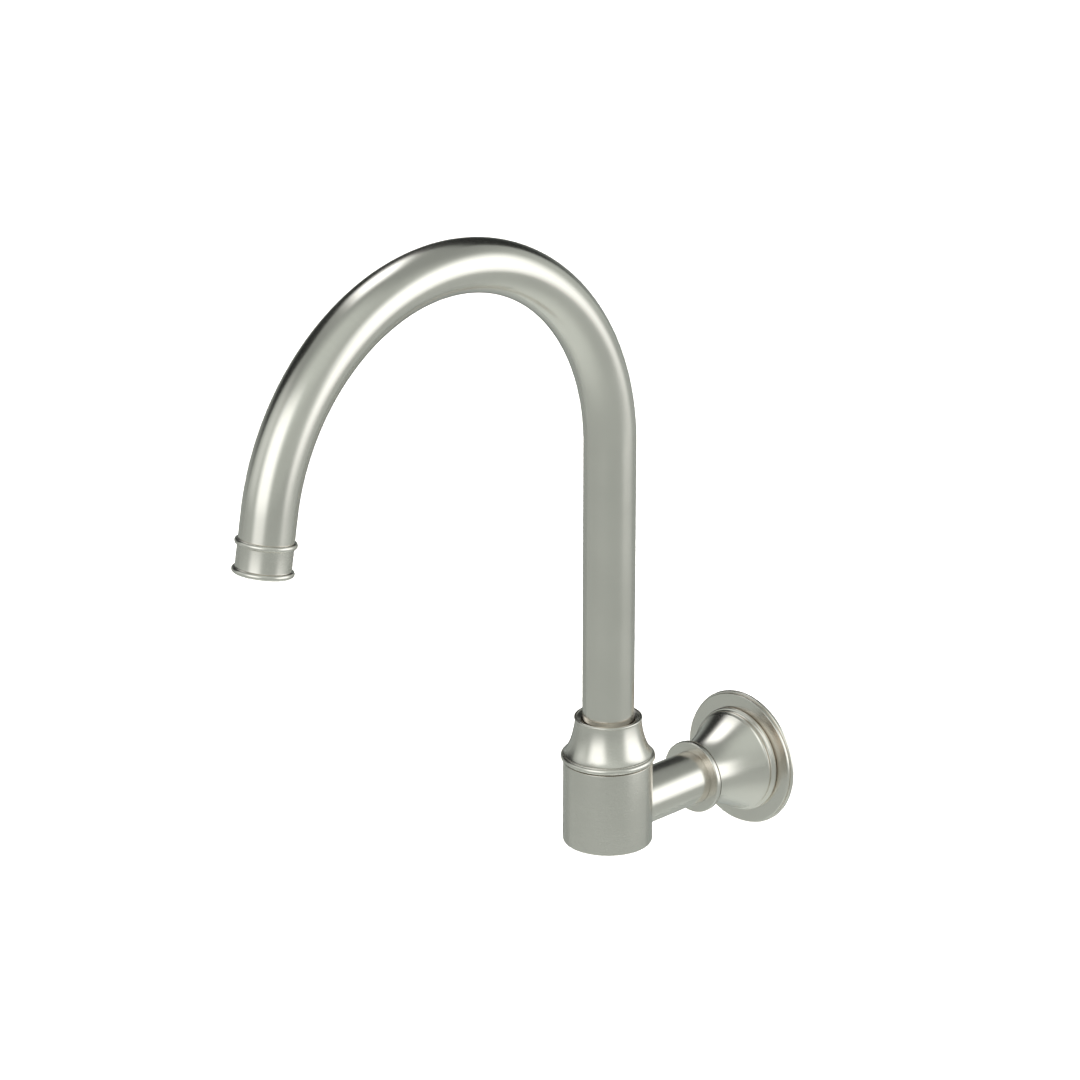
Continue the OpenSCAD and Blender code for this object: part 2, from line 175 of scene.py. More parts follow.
def lathe(name, outline, place, segments=ROUND_SEGMENTS):
    """Turns a closed outline of (r, z) points, in millimetres, about local z."""
    verts, along = [], []
    length = 0.0
    for i, (r, z) in enumerate(outline):
        if i:
            length += math.dist(outline[i - 1], outline[i])
        verts += ring(r, z, segments)
        along += [length * MM] * segments
    return new_piece(name, verts, closed_bands(len(outline), segments), place, along)


def cut(obj, cutter):
    """Takes the cutter out of the piece and removes the cutter."""
    modifier = obj.modifiers.new("cut", "BOOLEAN")
    modifier.operation = "DIFFERENCE"
    modifier.solver = "EXACT"
    modifier.object = cutter
    bpy.context.view_layer.update()
    result = obj.evaluated_get(bpy.context.evaluated_depsgraph_get())
    mesh = bpy.data.meshes.new_from_object(result)
    obj.modifiers.clear()
    obj.data = mesh
    bpy.data.objects.remove(cutter)
    shade(obj)


def rod(name, r, z0, z1, place, segments=96):
    """A capped cylinder used as a cutter."""
    verts = ring(r, z0, segments) + ring(r, z1, segments)
    faces = band(0, 1, segments)
    faces.append(tuple(reversed(range(segments))))
    faces.append(tuple(range(segments, 2 * segments)))
    return new_piece(name, verts, faces, place)


# ---------------------------------------------------------------- the gooseneck

def spout_stations():
    """(y, z, heading, length) along the spout's centreline, in millimetres; heading 0 is straight up."""
    riser_steps, bend_steps, tip_steps = 36, 150, 3
    out = []
    riser = RISER_TOP - SHOULDER_TOP
    for i in range(riser_steps + 1):
        run = riser * i / riser_steps
        out.append((-ARM_REACH, SHOULDER_TOP + run, 0.0, run))
    for i in range(1, bend_steps + 1):
        turn = ARC_SWEEP * i / bend_steps
        y = -ARM_REACH - ARC_R + ARC_R * math.cos(turn)
        out.append((y, RISER_TOP + ARC_R * math.sin(turn), turn, riser + ARC_R * turn))
    y, z, turn, length = out[-1]
    for i in range(1, tip_steps + 1):
        run = TIP_RUN * i / tip_steps
        out.append((y - run * math.sin(turn), z + run * math.cos(turn), turn, length + run))
    return out


def tube_faces(rings, segments):
    """Faces of an open tube: its outside, its bore, and the rims at its two ends."""
    inner = rings * segments
    faces = []
    for i in range(rings - 1):
        for a, b, c, d in band(i, i + 1, segments):
            faces.append((a, d, c, b))
            faces.append((inner + a, inner + b, inner + c, inner + d))
    faces += band(0, rings, segments)
    faces += [tuple(reversed(face)) for face in band(rings - 1, 2 * rings - 1, segments)]
    return faces


def spout_tube():
    segments = 120
    stations = spout_stations()
    verts, along = [], []
    for r in (SPOUT_R, SPOUT_BORE_R):
        for y, z, turn, length in stations:
            side = Vector((0, math.cos(turn), math.sin(turn)))
            for s in range(segments):
                a = 2 * math.pi * s / segments
                p = Vector((0, y, z)) + side * (r * math.cos(a)) + Vector((r * math.sin(a), 0, 0))
                verts.append(tuple(p * MM))
                along.append(length * MM)
    faces = tube_faces(len(stations), segments)
    return new_piece("spout_tube_bent", verts, faces, Matrix.Identity(4), along)


# ---------------------------------------------------------------- turned pieces

def cap_flare(z):
    """Radius of the cap nut's flare: part of a superellipse between a narrow neck and a wide foot."""
    neck_r, spread, height, power = 13.95, 6.9, 19.5, 1.8
    share = (CAP_TOP + 2 - z) / height
    return neck_r + spread * (1 - (1 - share ** power) ** (1 / power))


def cap_nut():
    foot = BODY_RISE + 0.25
    groove = BODY_RISE + 3.45
    bead_r = 1.45
    outline = [(16.45, foot), (BODY_R - 0.9, foot), (BODY_R - 0.9, foot + 0.2)]
    outline += arc(20.15 - bead_r, foot + 1.65, bead_r, -90, 66, 26)
    outline += arc(BODY_R + 0.05, groove - 0.1, 0.22, 250, 110, 8)
    start, end, steps = groove + 0.25, CAP_TOP - 1.3, 70
    heights = [start + (end - start) * i / steps for i in range(steps + 1)]
    outline += [(cap_flare(z), z) for z in heights]
    outline += arc(13.9, CAP_TOP - 0.6, 0.6, -70, 90, 20)
    outline += arc(13.65, CAP_TOP - 0.25, 0.25, 90, 160, 6)
    outline += rounded([(13.3, CAP_TOP - 0.35), (SPOUT_R + 0.4, CAP_TOP - 1.2, 0.2),
                        (SPOUT_R + 0.4, GLAND_TOP + 1.2), (13.6, GLAND_TOP + 0.5), (15.1, NECK_TOP + 0.6),
                        (15.1, NECK_TOP + 0.3), (16.45, NECK_TOP + 0.3)])
    return lathe("cap_nut_turned", outline, at_body())


def swivel_body():
    """The drum, hollow under the spout's seat, with the arm's seat and the waterway cut into its side."""
    centre_r = 0.001
    inside_floor = -BODY_DROP + 3
    outline = [(centre_r, -BODY_DROP)]
    outline += arc(BODY_R - 0.8, -BODY_DROP + 0.8, 0.8, -90, 0, 12)
    outline += arc(BODY_R - 0.3, BODY_RISE - 0.3, 0.3, 0, 90, 6)
    outline += rounded([(16.4, BODY_RISE, 0.1), (16.4, NECK_TOP, 0.3), (14.5, NECK_TOP, 0.2),
                        (14.5, STACK_FLOOR, 0.1), (12.73, STACK_FLOOR), (12.58, STACK_FLOOR - 0.4),
                        (12.58, inside_floor, 0.5), (centre_r, inside_floor)])
    body = lathe("swivel_body_turned", outline, at_body())
    sideways = at_body() @ Matrix.Rotation(math.radians(-90), 4, "X")
    cut(body, rod("arm_seat_cutter", ARM_R + 0.02, ARM_SEAT, 30, sideways))
    cut(body, rod("waterway_cutter", 9.0, 1, 20, sideways))
    return body


def arm_tube():
    outline = rounded([(ARM_R, ARM_START, 0.2), (ARM_R, ARM_END, 0.2), (ARM_BORE_R, ARM_END, 0.2),
                       (ARM_BORE_R, ARM_START, 0.2)])
    tube = lathe("arm_tube_drawn", outline, from_wall())
    screw_from_wall, screw_r = 16, 2.5
    underside = Matrix.Translation((0, -screw_from_wall * MM, 0)) @ Matrix.Rotation(math.pi, 4, "X")
    cut(tube, rod("set_screw_cutter", screw_r, 5, 15, underside, 48))
    return tube


def outlet_nozzle():
    start, end = TIP_RUN, TIP_RUN + NOZZLE_LEN
    bead = NOZZLE_BEAD_ROUND
    bead_centre_r = NOZZLE_BEAD_R - bead
    outline = rounded([(8, start + 3.9), (8, start - 8, 0.3), (9.9, start - 8, 0.3), (9.9, start),
                       (11.02, start)])
    outline += arc(bead_centre_r, start + bead, bead, -84, 80, 20)
    outline += arc(11.3, start + 2 * bead + 0.16, 0.26, 220, 180, 5)
    outline += arc(11.3, end - 2 * bead - 0.16, 0.26, 180, 140, 5)
    outline += arc(bead_centre_r, end - bead, bead, -80, 90, 20)
    outline += [(9.75, end)]
    outline += rounded([(9.25, end - 0.5), (9.25, start + 3.9)])
    return lathe("outlet_nozzle_turned", outline, at_outlet())


def bell(t):
    """Outer radius of the bell at a distance from the wall."""
    share = max(0.0, (BELL_LEN - t) / (BELL_LEN - BELL_START))
    return BELL_SMALL_R + (BELL_BIG_R - BELL_SMALL_R) * share ** BELL_POWER


def bell_inside(share):
    """Inner radius of the bell, with share running from 0 at its wide end to 1 near its small end."""
    small_r, spread, stretch = 12.4, 7.8, 1.2
    return small_r + spread * (1 - share / stretch) ** BELL_POWER


def plate_edge():
    """The wall plate's rim: a rounded back step, a crease, and the front edge."""
    back, front, crease = 0.6, 0.35, 1.3
    outline = rounded([(28.8, 0), (PLATE_R, 0, 0.2)])
    outline += arc(PLATE_R - back, 0.7, back, 0, 72, 10)
    outline += [(29.3, crease), (29.25, crease + 0.12), (29.4, crease + 0.25)]
    return outline + arc(29.4 - front, PLATE_T - front, front, 0, 90, 12)


def bell_lip():
    """The bead, cove and shoulder where the bell meets the plate."""
    outline = [(22.4, PLATE_T), (22.4, PLATE_T + 0.3)]
    outline += arc(22.5, PLATE_T + 1.1, 0.8, -90, 75.5, 22)
    outline += arc(22.95, PLATE_T + 2.843, 1.0, 255.5, 150, 12)
    return outline + arc(21.36, PLATE_T + 3.9, 0.9, -30, 50, 14)


def wall_flange():
    outer_steps, inner_steps = 90, 40
    run = BELL_LEN - BELL_START
    inner_run = run - 5
    outline = plate_edge() + bell_lip()
    for i in range(outer_steps + 1):
        t = BELL_START + run * i / outer_steps
        outline.append((bell(t), t))
    outline += [(12.73, BELL_LEN), (12.73, BELL_LEN - 3.7), (11.8, BELL_LEN - 3.7), (11.8, BELL_LEN - 5)]
    for i in range(inner_steps, -1, -1):
        share = i / inner_steps
        outline.append((bell_inside(share), BELL_START + inner_run * share))
    outline += [(20.7, 5.6), (21.6, 3.5), (21.6, PLATE_T - 1.3), (28.8, PLATE_T - 1.3)]
    return lathe("wall_flange_spun", outline, from_wall(), 200)


def flange_collar():
    """A ring with a joint line round its edge, a spigot in the bell and a groove for the grip ring."""
    back = BELL_LEN + 0.3
    front = back + COLLAR_T
    line = back + 0.3
    lip_r = ARM_R + 0.05
    groove, groove_half, groove_r = (back + front) / 2, 0.55, 12.6
    outline = rounded([(11.8, BELL_LEN - 3.6, 0.1), (12.7, BELL_LEN - 3.6, 0.1), (12.7, back)])
    outline += rounded([(15.7, back), (15.9, back + 0.2, 0.1), (15.9, line, 0.03), (15.1, line + 0.05),
                        (15.1, line + 0.35), (15.8, line + 0.4, 0.05), (16.0, line + 0.6, 0.1),
                        (16.0, line + 0.8)])
    outline += arc(15.5, front - 0.5, 0.5, 0, 90, 10)
    outline += rounded([(lip_r + 0.05, front), (lip_r, front - 0.05), (lip_r, groove + groove_half),
                        (groove_r, groove + groove_half), (groove_r, groove - groove_half),
                        (11.8, groove - groove_half)])
    return lathe("flange_collar_turned", outline, from_wall())


def thread_radius(turns, z):
    """A V thread with rounded root and crest, faded out at the shoulder and tapered at the tip."""
    wave = abs((turns % 1.0) * 2 - 1)
    form = 0.65 * wave + 0.35 * (0.5 - 0.5 * math.cos(math.pi * wave))
    depth = THREAD_DEPTH * min(1, max(0, -z / 1.6))
    radius = THREAD_CREST_R - depth * (1 - form)
    tip = z + THREAD_LEN
    return min(radius, 9.2 + tip * 1.8) if tip < 0.6 else radius


def nipple_outline():
    """Bore, thread, shoulder and grooved slip end; a radius of None marks the rings of the thread."""
    thread_steps = 78
    tail_r, groove_r, groove_half = 7.95, 6.6, 0.95
    outline = rounded([(4.8, 36), (4.8, -14, 0.2), (9.2, -14, 0.2)])
    outline += [(None, -THREAD_LEN + THREAD_LEN * i / thread_steps) for i in range(thread_steps + 1)]
    corners = [(13, 0, 0.2), (13, 2.5, 0.2), (tail_r, 2.5, 0.2), (tail_r, 13.5), (7.2, 14.1), (7.2, 17.9),
               (tail_r, 18.5)]
    for groove in (22.5, 30.0):
        corners += [(tail_r, groove - groove_half, 0.1), (groove_r, groove - groove_half),
                    (groove_r, groove + groove_half), (tail_r, groove + groove_half, 0.1)]
    corners += [(tail_r, 35.2), (7.15, 36)]
    return outline + rounded(corners)


def wall_nipple():
    """The thread is one helical surface; a hex socket is cut in the room end."""
    segments = 96
    brush_step = 0.0002
    key_r = 5 / math.cos(math.radians(30))
    outline = nipple_outline()
    verts, along = [], []
    for i, (r, z) in enumerate(outline):
        for s in range(segments):
            turn = s / segments
            radius = thread_radius(z / THREAD_PITCH - turn, z) if r is None else r
            a = 2 * math.pi * turn
            verts.append((radius * MM * math.cos(a), radius * MM * math.sin(a), z * MM))
        along += [i * brush_step] * segments
    faces = closed_bands(len(outline), segments)
    nipple = new_piece("wall_nipple_threaded", verts, faces, from_wall(), along)
    cut(nipple, rod("hex_key_cutter", key_r, 24, 38, from_wall(), 6))
    return nipple


# ---------------------------------------------------------------- shader helpers

NICKEL = (0.772, 0.72, 0.658)
DRAWN_ROUGHNESS = 0.225
TURNED_ROUGHNESS = 0.255
BRUSH_STRETCH = 0.05
SCRATCH_DEPTH = 0.0000008
GRAIN_DEPTH = 0.0000006


class Shader:
    """A small wrapper that adds nodes to one material or world."""

    def __init__(self, tree):
        self.tree = tree
        self.nodes = tree.nodes

    def add(self, kind, **settings):
        node = self.nodes.new(kind)
        for key, value in settings.items():
            setattr(node, key, value)
        return node

    def link(self, source, target):
        self.tree.links.new(source, target)

    def feed(self, socket, value):
        if isinstance(value, bpy.types.NodeSocket):
            self.link(value, socket)
        else:
            socket.default_value = value

    def math(self, operation, a, b=0.0):
        node = self.add("ShaderNodeMath", operation=operation)
        self.feed(node.inputs[0], a)
        self.feed(node.inputs[1], b)
        return node.outputs[0]

    def noise(self, vector, scale, detail=4.0, rough=0.55):
        node = self.add("ShaderNodeTexNoise")
        self.feed(node.inputs["Vector"], vector)
        node.inputs["Scale"].default_value = scale
        node.inputs["Detail"].default_value = detail
        node.inputs["Roughness"].default_value = rough
        return node.outputs["Fac"]

    def spread(self, value, low, high, low_out, high_out):
        """Maps low..high to low_out..high_out, held at its ends."""
        node = self.add("ShaderNodeMapRange")
        for socket, number in zip(node.inputs, (value, low, high, low_out, high_out)):
            self.feed(socket, number)
        return node.outputs[0]

    def mix(self, factor, a, b):
        node = self.add("ShaderNodeMix", data_type="RGBA")
        self.feed(node.inputs["Factor"], factor)
        self.feed([s for s in node.inputs if s.name == "A" and s.type == "RGBA"][0], a)
        self.feed([s for s in node.inputs if s.name == "B" and s.type == "RGBA"][0], b)
        return [s for s in node.outputs if s.type == "RGBA"][0]

    def bump(self, height, distance, strength=1.0, normal=None):
        node = self.add("ShaderNodeBump")
        node.inputs["Strength"].default_value = strength
        node.inputs["Distance"].default_value = distance
        self.link(height, node.inputs["Height"])
        if normal is not None:
            self.link(normal, node.inputs["Normal"])
        return node.outputs["Normal"]


def new_material(name, metallic=0.0):
    material = bpy.data.materials.new(name)
    material.use_nodes = True
    shader = Shader(material.node_tree)
    surface = shader.nodes["Principled BSDF"]
    surface.inputs["Metallic"].default_value = metallic
    return material, shader, surface


def brushed_coordinates(shader):
    """Object position plus the distance along the brushing axis, so that scratches run round the piece."""
    place = shader.add("ShaderNodeTexCoord").outputs["Object"]
    along = shader.add("ShaderNodeAttribute", attribute_name="along").outputs["Fac"]
    stretched = shader.add("ShaderNodeVectorMath", operation="SCALE")
    shader.link(place, stretched.inputs[0])
    stretched.inputs["Scale"].default_value = BRUSH_STRETCH
    line = shader.add("ShaderNodeCombineXYZ")
    shader.link(along, line.inputs["Z"])
    together = shader.add("ShaderNodeVectorMath", operation="ADD")
    shader.link(stretched.outputs[0], together.inputs[0])
    shader.link(line.outputs[0], together.inputs[1])
    return place, together.outputs[0]


def brushed_nickel(name, colour, roughness):
    """Satin plate: fine scratches round the piece, a faint grain and slow changes in tone and gloss."""
    material, shader, surface = new_material(name, 1.0)
    place, brush = brushed_coordinates(shader)
    fine = shader.noise(brush, 7000, 3.0, 0.6)
    broad = shader.noise(brush, 1500, 2.0, 0.5)
    grain = shader.noise(place, 5200, 2.0, 0.5)
    slow = shader.noise(place, 42, 3.0, 0.5)
    light = [c * 1.03 for c in colour] + [1]
    dark = [c * 0.97 for c in colour] + [1]
    tone = shader.math("ADD", shader.math("MULTIPLY", slow, 0.7), shader.math("MULTIPLY", broad, 0.3))
    shader.link(shader.mix(shader.spread(tone, 0.3, 0.7, 0, 1), dark, light), surface.inputs["Base Color"])
    rough_fine = shader.spread(fine, 0.3, 0.7, -0.025, 0.025)
    rough_slow = shader.spread(slow, 0.3, 0.7, -0.015, 0.015)
    rough = shader.math("ADD", rough_fine, rough_slow)
    shader.link(shader.math("ADD", rough, roughness), surface.inputs["Roughness"])
    scratches = shader.bump(fine, SCRATCH_DEPTH)
    shader.link(shader.bump(grain, GRAIN_DEPTH, 0.8, scratches), surface.inputs["Normal"])
    return material


def machined_brass():
    material, shader, surface = new_material("machined_brass", 1.0)
    place = shader.add("ShaderNodeTexCoord").outputs["Object"]
    cloud = shader.noise(place, 160, 4.0)
    fine = shader.noise(place, 4200, 2.0)
    colour = shader.mix(shader.spread(cloud, 0.35, 0.7, 0, 1), (0.70, 0.50, 0.22, 1), (0.58, 0.38, 0.15, 1))
    shader.link(colour, surface.inputs["Base Color"])
    shader.link(shader.spread(cloud, 0.3, 0.7, 0.26, 0.4), surface.inputs["Roughness"])
    shader.link(shader.bump(fine, 0.000003), surface.inputs["Normal"])
    return material


def stainless():
    material, shader, surface = new_material("stainless_steel", 1.0)
    place = shader.add("ShaderNodeTexCoord").outputs["Object"]
    cloud = shader.noise(place, 300, 3.0)
    fine = shader.noise(place, 5000, 2.0)
    shader.link(shader.mix(cloud, (0.50, 0.51, 0.52, 1), (0.62, 0.62, 0.62, 1)), surface.inputs["Base Color"])
    shader.link(shader.spread(cloud, 0.3, 0.7, 0.2, 0.32), surface.inputs["Roughness"])
    shader.link(shader.bump(fine, 0.000002), surface.inputs["Normal"])
    return material


def soft_material(name, dark, light, scale, bump, roughness):
    """Rubber, foam or plastic: mottled colour, pores or moulding grain, and uneven gloss."""
    material, shader, surface = new_material(name)
    place = shader.add("ShaderNodeTexCoord").outputs["Object"]
    cloud = shader.noise(place, scale / 6, 4.0)
    grain = shader.noise(place, scale, 3.0, 0.6)
    shader.link(shader.mix(shader.spread(cloud, 0.3, 0.7, 0, 1), dark, light), surface.inputs["Base Color"])
    gloss = shader.spread(grain, 0.3, 0.7, roughness - 0.08, roughness + 0.08)
    shader.link(gloss, surface.inputs["Roughness"])
    shader.link(shader.bump(grain, bump), surface.inputs["Normal"])
    return material


def wear(obj, material):
    """Gives an object one material in place of whatever it had."""
    obj.data.materials.clear()
    obj.data.materials.append(material)


# ---------------------------------------------------------------- assembly

def build_pieces(drawn, turned, brass):
    """(piece, body, CAD node, slot, material) for each finely made piece."""
    return [
        (spout_tube(), "spout", "spout_tube", "brushed_nickel", drawn),
        (outlet_nozzle(), "spout", "outlet_nozzle", "brushed_nickel", turned),
        (cap_nut(), "fixed_arm", "cap_nut", "brushed_nickel", turned),
        (swivel_body(), "fixed_arm", "swivel_body", "brushed_nickel", turned),
        (arm_tube(), "fixed_arm", "arm_tube", "brushed_nickel", drawn),
        (wall_nipple(), "fixed_arm", "wall_nipple", "raw_brass", brass),
        (wall_flange(), "flange", "wall_flange", "brushed_nickel", drawn),
        (flange_collar(), "flange", "flange_collar", "brushed_nickel", turned),
    ]


def dress_nodes(nodes, brass):
    """Materials for the CAD nodes that stay as they are."""
    steel = stainless()
    rubber = soft_material("seal_rubber", (0.012, 0.012, 0.012, 1), (0.03, 0.03, 0.03, 1),
                           1500, 0.000012, 0.5)
    foam = soft_material("foam_rubber", (0.04, 0.04, 0.042, 1), (0.09, 0.09, 0.095, 1), 900, 0.00009, 0.85)
    acetal = soft_material("natural_acetal", (0.78, 0.77, 0.71, 1), (0.86, 0.85, 0.8, 1),
                           1200, 0.000006, 0.38)
    finishes = {
        "nipple_o_rings": rubber, "spigot_o_rings": rubber, "aerator_washer": rubber,
        "collar_grip_ring": rubber,
        "arm_set_screw": steel, "stop_pin": steel, "aerator_housing": steel, "aerator_screen": steel,
        "lower_glide_ring": acetal, "upper_glide_ring": acetal, "flow_straightener": acetal,
        "arm_socket": brass, "gland_nut": brass, "spout_spigot": brass, "wall_gasket": foam,
    }
    for name, material in finishes.items():
        wear(nodes[name], material)


def build_object(frame):
    drawn = brushed_nickel("brushed_nickel_drawn", NICKEL, DRAWN_ROUGHNESS)
    turned = brushed_nickel("brushed_nickel_turned", NICKEL, TURNED_ROUGHNESS)
    brass = machined_brass()
    for piece, body, node, slot, material in build_pieces(drawn, turned, brass):
        wear(piece, material)
        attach(piece, body)
        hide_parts(node)
    dress_nodes(frame["nodes"], brass)


# ---------------------------------------------------------------- studio

# The photograph's view, from a perspective fit to the object's outlines.
VIEW_AZIMUTH = 45.0
VIEW_ELEVATION = 20.0
CAMERA_LENS = 134.73
CAMERA_DISTANCE = 1.6947
CAMERA_TARGET = Vector((-0.02842, -0.09769, 0.11912))

OBJECT_CENTRE = Vector((0, -0.14, 0.12))
SKY_COLOUR = (0.912, 1.012, 0.972)
PANEL_COLOUR = (0.962, 1.005, 1.022)

# azimuth, elevation, width and height in degrees, and the brightness added to the sky's
PANELS = {
    "panel_left": (-78, 19, 62, 61, 1.02),
    "panel_right": (38, 8.5, 77, 62, 1.12),
    "panel_back": (157, 58, 30, 53, 1.6),
    "panel_fill": (-128, 22, 36, 54, 0.25),
}
PANEL_DISTANCE = 2.4
PANEL_SOFT_EDGE = 0.62

SKY_BRIGHTNESS = 0.537
# azimuth, elevation, inner and outer radius in degrees, change in brightness
SKY_PATCHES = [
    (88, 60, 12, 42, -0.2),
    (-145, 60, 12, 42, -0.21),
    (-50, 55, 12, 45, 0.13),
]

FLOOR_LEVEL = -0.7
FLOOR_HALF = 12.0

# A dark card stands behind the object and gives the metal its dark edges. A grey one lies on the floor
# between that card and the object, a little brighter at its near edge.
CARD_LEVEL = FLOOR_LEVEL + 0.01
CARD_DISTANCE = 2.6
CARD_GLOW = 0.38
CARD_NEAR_GLOW = 0.2
CARD_FADE_START = -0.1
CARD_FADE_END = 0.75
CARD_TOP_SHARE = 0.05
DARK_CARD_AZIMUTHS = (98, 206)
DARK_CARD_TOP = 2.7
FLOOR_CARD_AZIMUTHS = (72, 196)
FLOOR_CARD_FRONT = 0.48
FLOOR_CARD_EVEN = 0.95

# A small dark ramp straight behind the object draws the thin dark line along the metal's outlines.
EDGE_CARD_AZIMUTHS = (117, 153)
EDGE_CARD_FRONT = 1.4
EDGE_CARD_TOP = -0.4
EDGE_CARD_GLOW = 0.08

# Lamps that whiten the floor. The wash hangs low behind the object, as the camera sees it.
WASH_SIZE = (2.5, 4.9)
WASH_WATTS = 60
WASH_SPREAD = 70
WASH_COLOUR = (1.07, 1.0, 0.97)
WASH_PLACE = (-2.33, 2.19, -0.15)
# height, watts and cone in degrees of each lamp above the object
SPOT_LAMPS = {
    "floor_pool": (1.5, 58, 50),
    "floor_spread": (3.3, 64, 120),
}
SPOT_SIZE = 0.3


def direction(azimuth, elevation):
    """The unit vector towards an azimuth and elevation, both in degrees."""
    a, e = math.radians(azimuth), math.radians(elevation)
    return Vector((math.cos(e) * math.cos(a), math.cos(e) * math.sin(a), math.sin(e)))


def stage_mesh(name, verts, faces):
    mesh = bpy.data.meshes.new(name)
    mesh.from_pydata(verts, [], faces)
    obj = bpy.data.objects.new(name, mesh)
    bpy.context.scene.collection.objects.link(obj)
    return obj


def only_mirrored(obj):
    """Keeps a stage object out of everything but the metal's reflections."""
    obj.visible_camera = False
    obj.visible_diffuse = False
    obj.visible_shadow = False
    obj.visible_transmission = False


def glow_material(name, colour):
    """A bare emission shader and its object coordinates; its strength is fed by the caller."""
    material = bpy.data.materials.new(name)
    material.use_nodes = True
    shader = Shader(material.node_tree)
    shader.nodes.remove(shader.nodes["Principled BSDF"])
    place = shader.add("ShaderNodeSeparateXYZ")
    shader.link(shader.add("ShaderNodeTexCoord").outputs["Object"], place.inputs[0])
    glow = shader.add("ShaderNodeEmission")
    glow.inputs["Color"].default_value = (*colour, 1)
    return material, shader, place, glow


def soft_edge(shader, across):
    """1 in the middle, falling smoothly to 0 where across reaches -1 or 1."""
    ramp = shader.add("ShaderNodeMapRange", interpolation_type="SMOOTHSTEP")
    limits = (shader.math("ABSOLUTE", across), 1, 1 - PANEL_SOFT_EDGE, 0, 1)
    for socket, value in zip(ramp.inputs, limits):
        shader.feed(socket, value)
    return ramp.outputs[0]


def panel(name, azimuth, elevation, wide, high, brightness):
    """A flat soft-edged light, added to the sky behind it."""
    obj = stage_mesh(name, [(-1, -1, 0), (1, -1, 0), (1, 1, 0), (-1, 1, 0)], [(0, 1, 2, 3)])
    towards = direction(azimuth, elevation)
    obj.location = OBJECT_CENTRE + towards * PANEL_DISTANCE
    obj.rotation_euler = towards.to_track_quat("Z", "Y").to_euler()
    obj.scale = [PANEL_DISTANCE * math.tan(math.radians(angle / 2)) for angle in (wide, high)] + [1]
    material, shader, place, glow = glow_material(name, PANEL_COLOUR)
    edges = [soft_edge(shader, place.outputs[axis]) for axis in "XY"]
    shape = shader.math("MULTIPLY", *edges)
    shader.link(shader.math("MULTIPLY", shape, brightness), glow.inputs["Strength"])
    both = shader.add("ShaderNodeAddShader")
    shader.link(glow.outputs[0], both.inputs[0])
    shader.link(shader.add("ShaderNodeBsdfTransparent").outputs[0], both.inputs[1])
    shader.link(both.outputs[0], shader.nodes["Material Output"].inputs["Surface"])
    wear(obj, material)
    only_mirrored(obj)


def sky():
    """An even sky with a few soft brighter and darker patches."""
    world = bpy.data.worlds.new("studio")
    bpy.context.scene.world = world
    world.use_nodes = True
    shader = Shader(world.node_tree)
    look = shader.add("ShaderNodeTexCoord").outputs["Generated"]
    level = SKY_BRIGHTNESS
    for azimuth, elevation, inner, outer, change in SKY_PATCHES:
        dot = shader.add("ShaderNodeVectorMath", operation="DOT_PRODUCT")
        shader.link(look, dot.inputs[0])
        dot.inputs[1].default_value = direction(azimuth, elevation)
        ramp = shader.add("ShaderNodeMapRange", interpolation_type="SMOOTHSTEP")
        rim, core = math.cos(math.radians(outer)), math.cos(math.radians(inner))
        for socket, value in zip(ramp.inputs, (dot.outputs["Value"], rim, core, 0, change)):
            shader.feed(socket, value)
        level = shader.math("ADD", ramp.outputs[0], level)
    background = shader.nodes["Background"]
    background.inputs["Color"].default_value = (*SKY_COLOUR, 1)
    shader.link(level, background.inputs["Strength"])


def curved_card(name, azimuths, near, far, glow_below=CARD_GLOW):
    """A card swept round the object between two (distance, height) edges.

    It is brighter close to the object and darker high up.
    """
    steps = 24
    verts = []
    for i in range(steps + 1):
        outward = direction(azimuths[0] + (azimuths[1] - azimuths[0]) * i / steps, 0)
        for reach, z in (near, far):
            verts.append((outward.x * reach, outward.y * reach, z))
    faces = [(2 * i, 2 * i + 2, 2 * i + 3, 2 * i + 1) for i in range(steps)]
    obj = stage_mesh(name, verts, faces)
    obj.location = (OBJECT_CENTRE.x, OBJECT_CENTRE.y, 0)
    material, shader, place, glow = glow_material(name, SKY_COLOUR)
    square = [shader.math("POWER", place.outputs[axis], 2.0) for axis in "XY"]
    reach = shader.math("SQRT", shader.math("ADD", *square))
    low = shader.spread(reach, FLOOR_CARD_FRONT, FLOOR_CARD_EVEN, glow_below + CARD_NEAR_GLOW, glow_below)
    fade = shader.spread(place.outputs["Z"], CARD_FADE_START, CARD_FADE_END, 1.0, CARD_TOP_SHARE)
    shader.link(shader.math("MULTIPLY", low, fade), glow.inputs["Strength"])
    shader.link(glow.outputs[0], shader.nodes["Material Output"].inputs["Surface"])
    wear(obj, material)
    only_mirrored(obj)


def cards():
    back = (CARD_DISTANCE, CARD_LEVEL)
    curved_card("dark_card", DARK_CARD_AZIMUTHS, back, (CARD_DISTANCE, DARK_CARD_TOP))
    curved_card("floor_card", FLOOR_CARD_AZIMUTHS, (FLOOR_CARD_FRONT, CARD_LEVEL), back)
    curved_card("edge_card", EDGE_CARD_AZIMUTHS, (EDGE_CARD_FRONT, CARD_LEVEL),
                (CARD_DISTANCE, EDGE_CARD_TOP), EDGE_CARD_GLOW)


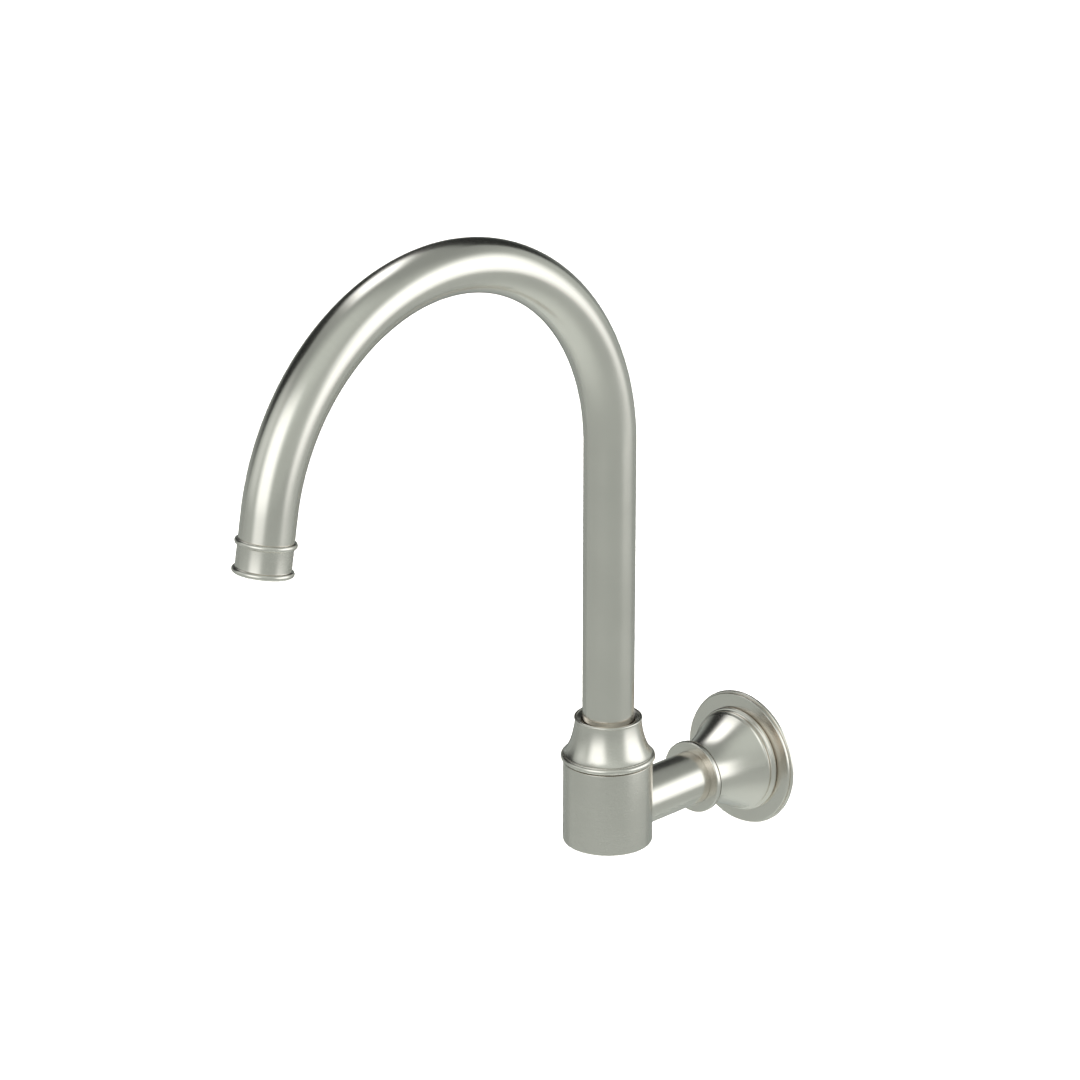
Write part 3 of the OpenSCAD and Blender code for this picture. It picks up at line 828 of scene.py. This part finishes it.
def floor():
    """A pale floor, seen only from above, so that the object can be looked at from underneath too."""
    half = FLOOR_HALF
    verts = [(x, y, FLOOR_LEVEL) for x, y in ((-half, -half), (half, -half), (half, half), (-half, half))]
    obj = stage_mesh("studio_floor", verts, [(0, 1, 2, 3)])
    material, shader, surface = new_material("pale_floor")
    place = shader.add("ShaderNodeTexCoord").outputs["Object"]
    tone = shader.noise(place, 1.3, 2.0)
    dark, light = (0.87, 0.87, 0.87, 1), (0.89, 0.89, 0.89, 1)
    shader.link(shader.mix(tone, dark, light), surface.inputs["Base Color"])
    surface.inputs["Roughness"].default_value = 0.9
    surface.inputs["Specular IOR Level"].default_value = 0.1
    one_sided = shader.add("ShaderNodeMixShader")
    shader.link(shader.add("ShaderNodeNewGeometry").outputs["Backfacing"], one_sided.inputs[0])
    shader.link(surface.outputs[0], one_sided.inputs[1])
    shader.link(shader.add("ShaderNodeBsdfTransparent").outputs[0], one_sided.inputs[2])
    shader.link(one_sided.outputs[0], shader.nodes["Material Output"].inputs["Surface"])
    wear(obj, material)


def wash_lamp():
    light = bpy.data.lights.new("floor_wash", "AREA")
    light.shape = "RECTANGLE"
    light.size, light.size_y = WASH_SIZE
    light.energy = WASH_WATTS
    light.spread = math.radians(WASH_SPREAD)
    light.color = WASH_COLOUR
    return light


def spot_lamp(name, watts, cone):
    light = bpy.data.lights.new(name, "SPOT")
    light.energy = watts
    light.color = SKY_COLOUR
    light.spot_size = math.radians(cone)
    light.spot_blend = 1.0
    light.shadow_soft_size = SPOT_SIZE
    return light


def floor_lights():
    """They shine straight down, and the metal doesn't mirror them."""
    places = [(wash_lamp(), WASH_PLACE)]
    for name, (height, watts, cone) in SPOT_LAMPS.items():
        places.append((spot_lamp(name, watts, cone), (OBJECT_CENTRE.x, OBJECT_CENTRE.y, height)))
    for light, place in places:
        obj = bpy.data.objects.new(light.name, light)
        bpy.context.scene.collection.objects.link(obj)
        obj.location = place
        obj.rotation_euler = (0, 0, math.radians(VIEW_AZIMUTH))
        obj.visible_camera = False
        obj.visible_glossy = False


def camera():
    back = direction(VIEW_AZIMUTH - 90, VIEW_ELEVATION)
    data = bpy.data.cameras.new("camera")
    data.lens = CAMERA_LENS
    data.sensor_width = 36
    obj = bpy.data.objects.new("camera", data)
    bpy.context.scene.collection.objects.link(obj)
    rotation = back.to_track_quat("Z", "Y").to_matrix().to_4x4()
    obj.matrix_world = Matrix.Translation(CAMERA_TARGET + back * CAMERA_DISTANCE) @ rotation
    bpy.context.scene.camera = obj


def studio():
    for name, settings in PANELS.items():
        panel(name, *settings)
    sky()
    cards()
    floor()
    floor_lights()
    camera()
    bpy.context.scene.view_settings.view_transform = "Standard"


def corners(box):
    return [[float(x) for x in corner] for corner in box]


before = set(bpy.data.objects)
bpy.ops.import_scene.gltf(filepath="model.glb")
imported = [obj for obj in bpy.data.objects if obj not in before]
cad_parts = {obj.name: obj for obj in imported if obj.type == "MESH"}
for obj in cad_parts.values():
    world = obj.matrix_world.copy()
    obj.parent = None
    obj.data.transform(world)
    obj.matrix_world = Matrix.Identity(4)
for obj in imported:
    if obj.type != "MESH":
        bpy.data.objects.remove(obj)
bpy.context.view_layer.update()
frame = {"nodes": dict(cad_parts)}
build_object(frame)
studio()
